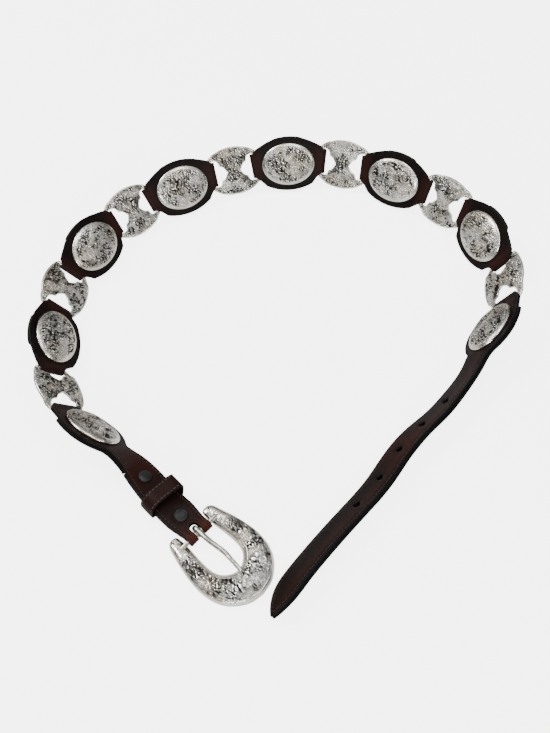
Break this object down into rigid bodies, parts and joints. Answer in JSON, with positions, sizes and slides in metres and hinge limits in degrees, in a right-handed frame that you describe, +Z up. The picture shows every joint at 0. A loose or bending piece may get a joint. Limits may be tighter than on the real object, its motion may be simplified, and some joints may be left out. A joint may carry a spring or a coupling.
{
  "type": "concho belt",
  "caption": "Leather belt of oval links with domed oval conchos, pierced scalloped metal connectors, a horseshoe buckle and a punched tongue, lying in an open loop.",
  "frame": {"origin": "under the middle of the belt's bounding box, on the surface that the belt lies on", "axes": "+X to the right as the picture shows the belt, +Y away from the viewer, +Z up"},
  "size_m": [0.3694, 0.3908, 0.041],
  "materials": {
    "silver": "polished and engraved nickel silver with dark antiqued recesses",
    "gunmetal": "dark matt plated snaps and screws",
    "face_leather": "dark oxblood brown, burnished, stitched",
    "back_leather": "near-black burnished backing"
  },
  "bodies": {
    "belt": {"buckle_strap": "face_leather", "buckle_strap_lining": "back_leather", "snap_1": "gunmetal", "snap_2": "gunmetal", "keeper_loop": "face_leather", "connector_1": "silver", "connector_2": "silver", "connector_3": "silver", "connector_4": "silver", "connector_5": "silver", "connector_6": "silver", "connector_7": "silver", "link_face_1": "face_leather", "link_face_2": "face_leather", "link_face_3": "face_leather", "link_face_4": "face_leather", "link_face_5": "face_leather", "link_face_6": "face_leather", "link_back_1": "back_leather", "link_back_2": "back_leather", "link_back_3": "back_leather", "link_back_4": "back_leather", "link_back_5": "back_leather", "link_back_6": "back_leather", "concho_1": "silver", "concho_2": "silver", "concho_3": "silver", "concho_4": "silver", "concho_5": "silver", "concho_6": "silver", "concho_7": "silver", "concho_8": "silver", "concho_screw_1": "gunmetal", "concho_screw_2": "gunmetal", "concho_screw_3": "gunmetal", "concho_screw_4": "gunmetal", "concho_screw_5": "gunmetal", "concho_screw_6": "gunmetal", "concho_screw_7": "gunmetal", "concho_screw_8": "gunmetal", "tongue_strap": "face_leather", "tongue_lining": "back_leather"},
    "buckle": {"buckle_frame": "silver"},
    "prong": {"buckle_prong": "silver"}
  },
  "joints": [
    {"name": "buckle_swing", "type": "hinge", "parent": "belt", "child": "buckle", "pos_m": [-0.07172, -0.13064, 0.00552], "axis": [-0.766, -0.6428, 0], "range_deg": [0, 25]},
    {"name": "prong_swing", "type": "hinge", "parent": "buckle", "child": "prong", "pos_m": [-0.07172, -0.13064, 0.00552], "axis": [-0.766, -0.6428, 0], "range_deg": [0, 90]}
  ]
}
